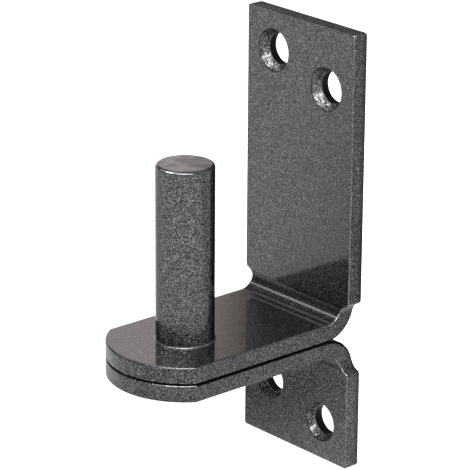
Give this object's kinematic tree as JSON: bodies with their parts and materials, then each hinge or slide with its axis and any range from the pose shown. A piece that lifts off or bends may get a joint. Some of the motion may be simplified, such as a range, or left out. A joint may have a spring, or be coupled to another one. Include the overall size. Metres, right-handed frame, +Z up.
{
  "type": "hinge pin on plate",
  "caption": "Upright hinge pin riveted through the arms of two folded steel brackets, whose legs screw flat to a post or wall and carry a strap hinge.",
  "frame": {"origin": "on the pin's axis, at the upper arm's top face where the pin's shank starts", "axes": "+Z up the pin, +Y back to the wall that the legs are screwed to, +X to the right as seen from the front"},
  "size_m": [0.0426, 0.0668, 0.125],
  "materials": {
    "powder_coat": "charcoal powder coat with a fine metallic sparkle, semi-gloss"
  },
  "bodies": {
    "root": {"upper_bracket": "powder_coat", "lower_bracket": "powder_coat", "hinge_pin": "powder_coat"}
  },
  "joints": []
}
